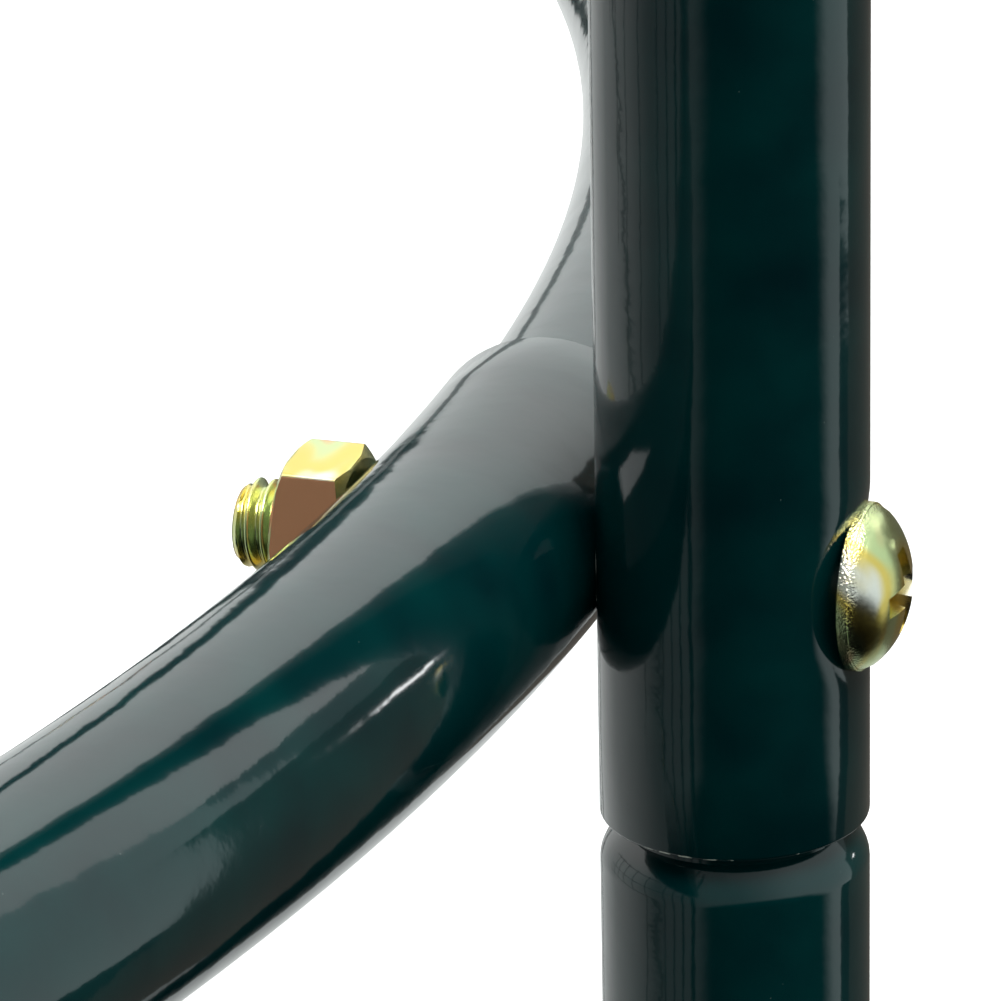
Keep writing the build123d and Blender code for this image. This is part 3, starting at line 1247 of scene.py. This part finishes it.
class ARCH_OT_plugs(Operator):
    """Make the plugs in both ends of every rail"""

    bl_idname = "arch.plugs"
    bl_label = "Make the plugs"

    def execute(self, context):
        colour = tuple(context.scene.arch_colours.plug)
        plastic = material_named(
            "Plug plastic", lambda: moulded_material("Plug plastic", colour, 0.38, 2600.0, 0.12)
        )
        shape = plug()
        quarter = Matrix.Rotation(-pi / 2, 4, "X")
        ends = {
            "rear": Matrix.Translation((0, RAIL_ENDS[1], 0)) @ quarter,
            "front": Matrix.Translation((0, RAIL_ENDS[0], 0)) @ Matrix.Rotation(pi, 4, "Z") @ quarter,
        }
        for end, turn in ends.items():
            copies = [
                copy_of(shape, f"plug_{name}", crossing_matrix(name) @ turn) for name in crossing_names()
            ]
            piece = joined(copies, f"rail_plugs_{end}_moulded")
            dress(piece, plastic, "plug_plastic", f"rail_plugs_{end}")
        discard(shape)
        return {"FINISHED"}


class ARCH_OT_foot_caps(Operator):
    """Make the cap under every leg"""

    bl_idname = "arch.foot_caps"
    bl_label = "Make the foot caps"

    def execute(self, context):
        colour = tuple(context.scene.arch_colours.rubber)
        rubber = material_named(
            "Cap rubber", lambda: moulded_material("Cap rubber", colour, 0.6, 1800.0, 0.3)
        )
        shape = foot_cap()
        places = [(x, y, 0) for y in BOW_Y.values() for x in (-LEG_X, LEG_X)]
        copies = [
            copy_of(shape, f"cap_{number}", Matrix.Translation(place)) for number, place in enumerate(places)
        ]
        piece = joined(copies, "foot_caps_moulded")
        dress(piece, rubber, "cap_rubber", "foot_caps")
        discard(shape)
        return {"FINISHED"}


# ------------------------------------------------------------------ the stage

# The camera stands on the crown's side of the middle bow's right shoulder joint, and looks down the bow.
VIEW_TURN = radians(16.52)  # round the rail, towards the screw's head
VIEW_CLIMB = radians(21.73)  # towards the rear
VIEW_ROLL = radians(-0.363)
VIEW_PAN = radians(2.0112)  # from the joint towards the left
VIEW_TILT = radians(0.6241)  # and up
VIEW_DISTANCE = 24.17  # in tube diameters, from the rail's axis
LENS = 238.15
SENSOR = 36.0

RIGHT_CARDS = 1.085  # from the joint to the boards on its right
# Each board has a name, its centre from the joint, its width and height, its glow and its colour.
CARDS = (
    ("right_dark_card", (RIGHT_CARDS, -0.36, -0.86), (1.95, 1.28), 0.12, (1.0, 0.9, 0.78)),
    ("right_dark_upper", (RIGHT_CARDS + 0.01, -0.68, 0.21), (0.28, 0.64), 0.04, (1, 1, 1)),
    ("streak_card", (RIGHT_CARDS - 0.05, 0.115, -0.097), (0.075, 0.022), 12.0, (1, 1, 1)),
    ("rear_right_card", (3.0, 2.4, -0.65), (1.3, 2.2), 1.5, (1, 1, 1)),
)


def joint_axes():
    """The right shoulder's joint: its place, the way its screw faces, and the bow's way down."""
    place, turn = crossing("shoulder_right")
    outwards = Vector((cos(turn), 0, sin(turn)))
    return place, outwards, REARWARDS.cross(outwards)


def add_camera():
    place, outwards, away = joint_axes()
    back = (
        cos(VIEW_CLIMB) * sin(VIEW_TURN) * outwards
        - cos(VIEW_CLIMB) * cos(VIEW_TURN) * away
        + sin(VIEW_CLIMB) * REARWARDS
    )
    level = cos(VIEW_TURN) * outwards + sin(VIEW_TURN) * away
    upright = back.cross(level)
    right = cos(VIEW_ROLL) * level + sin(VIEW_ROLL) * upright
    upright = back.cross(right)
    panned = Quaternion(upright, VIEW_PAN)
    forward, right = panned @ -back, panned @ right
    tilted = Quaternion(right, VIEW_TILT)
    forward, upright = tilted @ forward, tilted @ upright
    pick()
    bpy.ops.object.camera_add(location=place + back * VIEW_DISTANCE * TUBE)
    camera = bpy.context.object
    camera.name = "camera"
    axes = Matrix((right, upright, -forward)).transposed()
    camera.rotation_euler = axes.to_euler()
    camera.data.lens = LENS
    camera.data.sensor_width = SENSOR
    camera.data.clip_start = 0.02
    camera.data.clip_end = 300
    bpy.context.scene.camera = camera


def add_panel(name, place, target, size, power):
    """A soft box that faces a target."""
    pick()
    bpy.ops.object.light_add(type="AREA", location=place)
    light = bpy.context.object
    light.name = name
    light.rotation_euler = (Vector(place) - Vector(target)).to_track_quat("Z", "Y").to_euler()
    light.data.shape = "RECTANGLE"
    light.data.size, light.data.size_y = size
    light.data.energy = power
    return light


def add_floor():
    pick()
    bpy.ops.mesh.primitive_circle_add(vertices=96, radius=80, fill_type="NGON")
    ground = new_piece("floor")
    ground.data.materials.append(material_named("Pale floor", floor_material))


def add_world():
    """A bright haze low on the right and at the rear, under a dark ceiling. The camera sees it plain."""
    world = bpy.data.worlds.new("Studio")
    bpy.context.scene.world = world
    world.use_nodes = True
    tree = world.node_tree
    outwards = shader_node(tree, "TexCoord").outputs["Generated"]
    way = shader_node(tree, "SeparateXYZ", Vector=outwards).outputs
    lean = maths(tree, "MULTIPLY_ADD", way["Y"], -1.2, way["Z"])
    ceiling = ramp(tree, lean, 0.84, 1.06, 1.0, 0.015)
    front = ramp(tree, way["Y"], -0.66, -0.4, 0.06)
    right = ramp(tree, way["X"], -0.5, 0.6, 0.3, 0.85)
    haze = maths(tree, "MULTIPLY", maths(tree, "MULTIPLY", ceiling, front), right)
    plain = shader_node(tree, "Mix", data_type="FLOAT")
    seen = shader_node(tree, "LightPath").outputs["Is Camera Ray"]
    for index, value in ((0, seen), (2, haze), (3, 1.0)):
        set_socket(tree, plain.inputs[index], value)
    feed(tree, tree.nodes["Background"], Color=(0.88, 1, 1, 1), Strength=plain.outputs[0])


def add_card(name, centre, facing, size, glow, colour):
    """A board that only reflections see: a lit one, or a dim one."""
    turn = Vector(facing).to_track_quat("Z", "Y").to_euler()
    pick()
    bpy.ops.mesh.primitive_plane_add(size=1, location=centre, rotation=turn)
    upright = abs((turn.to_matrix() @ Vector((1, 0, 0))).z) > 0.5
    bpy.context.object.scale = (*(size if upright else reversed(size)), 1)
    card = new_piece(name)
    black = {"Base_Color": (0, 0, 0, 1), "Roughness": 1.0, "Specular_IOR_Level": 0.0}
    material, _, _ = new_material(name, **black, Emission_Color=(*colour, 1), Emission_Strength=glow)
    card.data.materials.append(material)
    card.visible_camera = False
    card.visible_shadow = False
    card.visible_diffuse = False
    card.visible_transmission = False


class ARCH_OT_stage(Operator):
    """Make the floor, the lights and the camera"""

    bl_idname = "arch.stage"
    bl_label = "Make the stage"

    def execute(self, context):
        context.scene.view_settings.view_transform = "Standard"
        add_floor()
        add_world()
        add_panel("rear_soft_box", (1.2, 6.0, 4.2), (0.8, 1.0, 0.0), (5, 3), 820)
        fill = add_panel("overhead_fill", (0, 0.5, 8), (0, 0.5, 0), (9, 9), 100)
        fill.visible_glossy = False
        joint = crossing("shoulder_right")[0]
        for name, offset, size, glow, colour in CARDS:
            # The boards on the right face straight left, and the far one faces the joint.
            facing = (-1, 0, 0) if offset[0] < 2 * RIGHT_CARDS else -Vector(offset)
            add_card(name, joint + Vector(offset), facing, size, glow, colour)
        add_camera()
        return {"FINISHED"}


# ------------------------------------------------------------------ panel and registration


class ARCH_PT_panel(Panel):
    """The arch's sizes, colours and steps"""

    bl_idname = "ARCH_PT_panel"
    bl_label = "Garden arch"
    bl_space_type = "VIEW_3D"
    bl_region_type = "UI"
    bl_category = "Garden arch"

    def draw(self, context):
        for step in STEPS:
            self.layout.operator(step.bl_idname)
        for group in (context.scene.arch_tubes, context.scene.arch_fasteners, context.scene.arch_colours):
            box = self.layout.box()
            for name in group.__annotations__:
                box.prop(group, name)


STEPS = (
    ARCH_OT_stage,
    ARCH_OT_bows,
    ARCH_OT_rails,
    ARCH_OT_screws,
    ARCH_OT_nuts,
    ARCH_OT_plugs,
    ARCH_OT_foot_caps,
)
GROUPS = {"arch_tubes": ArchTubes, "arch_fasteners": ArchFasteners, "arch_colours": ArchColours}


def register():
    for each in (*GROUPS.values(), *STEPS, ARCH_PT_panel):
        bpy.utils.register_class(each)
    for name, group in GROUPS.items():
        setattr(bpy.types.Scene, name, PointerProperty(type=group))


def unregister():
    for name in GROUPS:
        delattr(bpy.types.Scene, name)
    for each in reversed((*GROUPS.values(), *STEPS, ARCH_PT_panel)):
        bpy.utils.unregister_class(each)


def main():
    register()
    bpy.ops.arch.stage()
    bpy.ops.arch.bows()
    bpy.ops.arch.rails()
    bpy.ops.arch.screws()
    bpy.ops.arch.nuts()
    bpy.ops.arch.plugs()
    bpy.ops.arch.foot_caps()


if __name__ == "__main__":
    main()
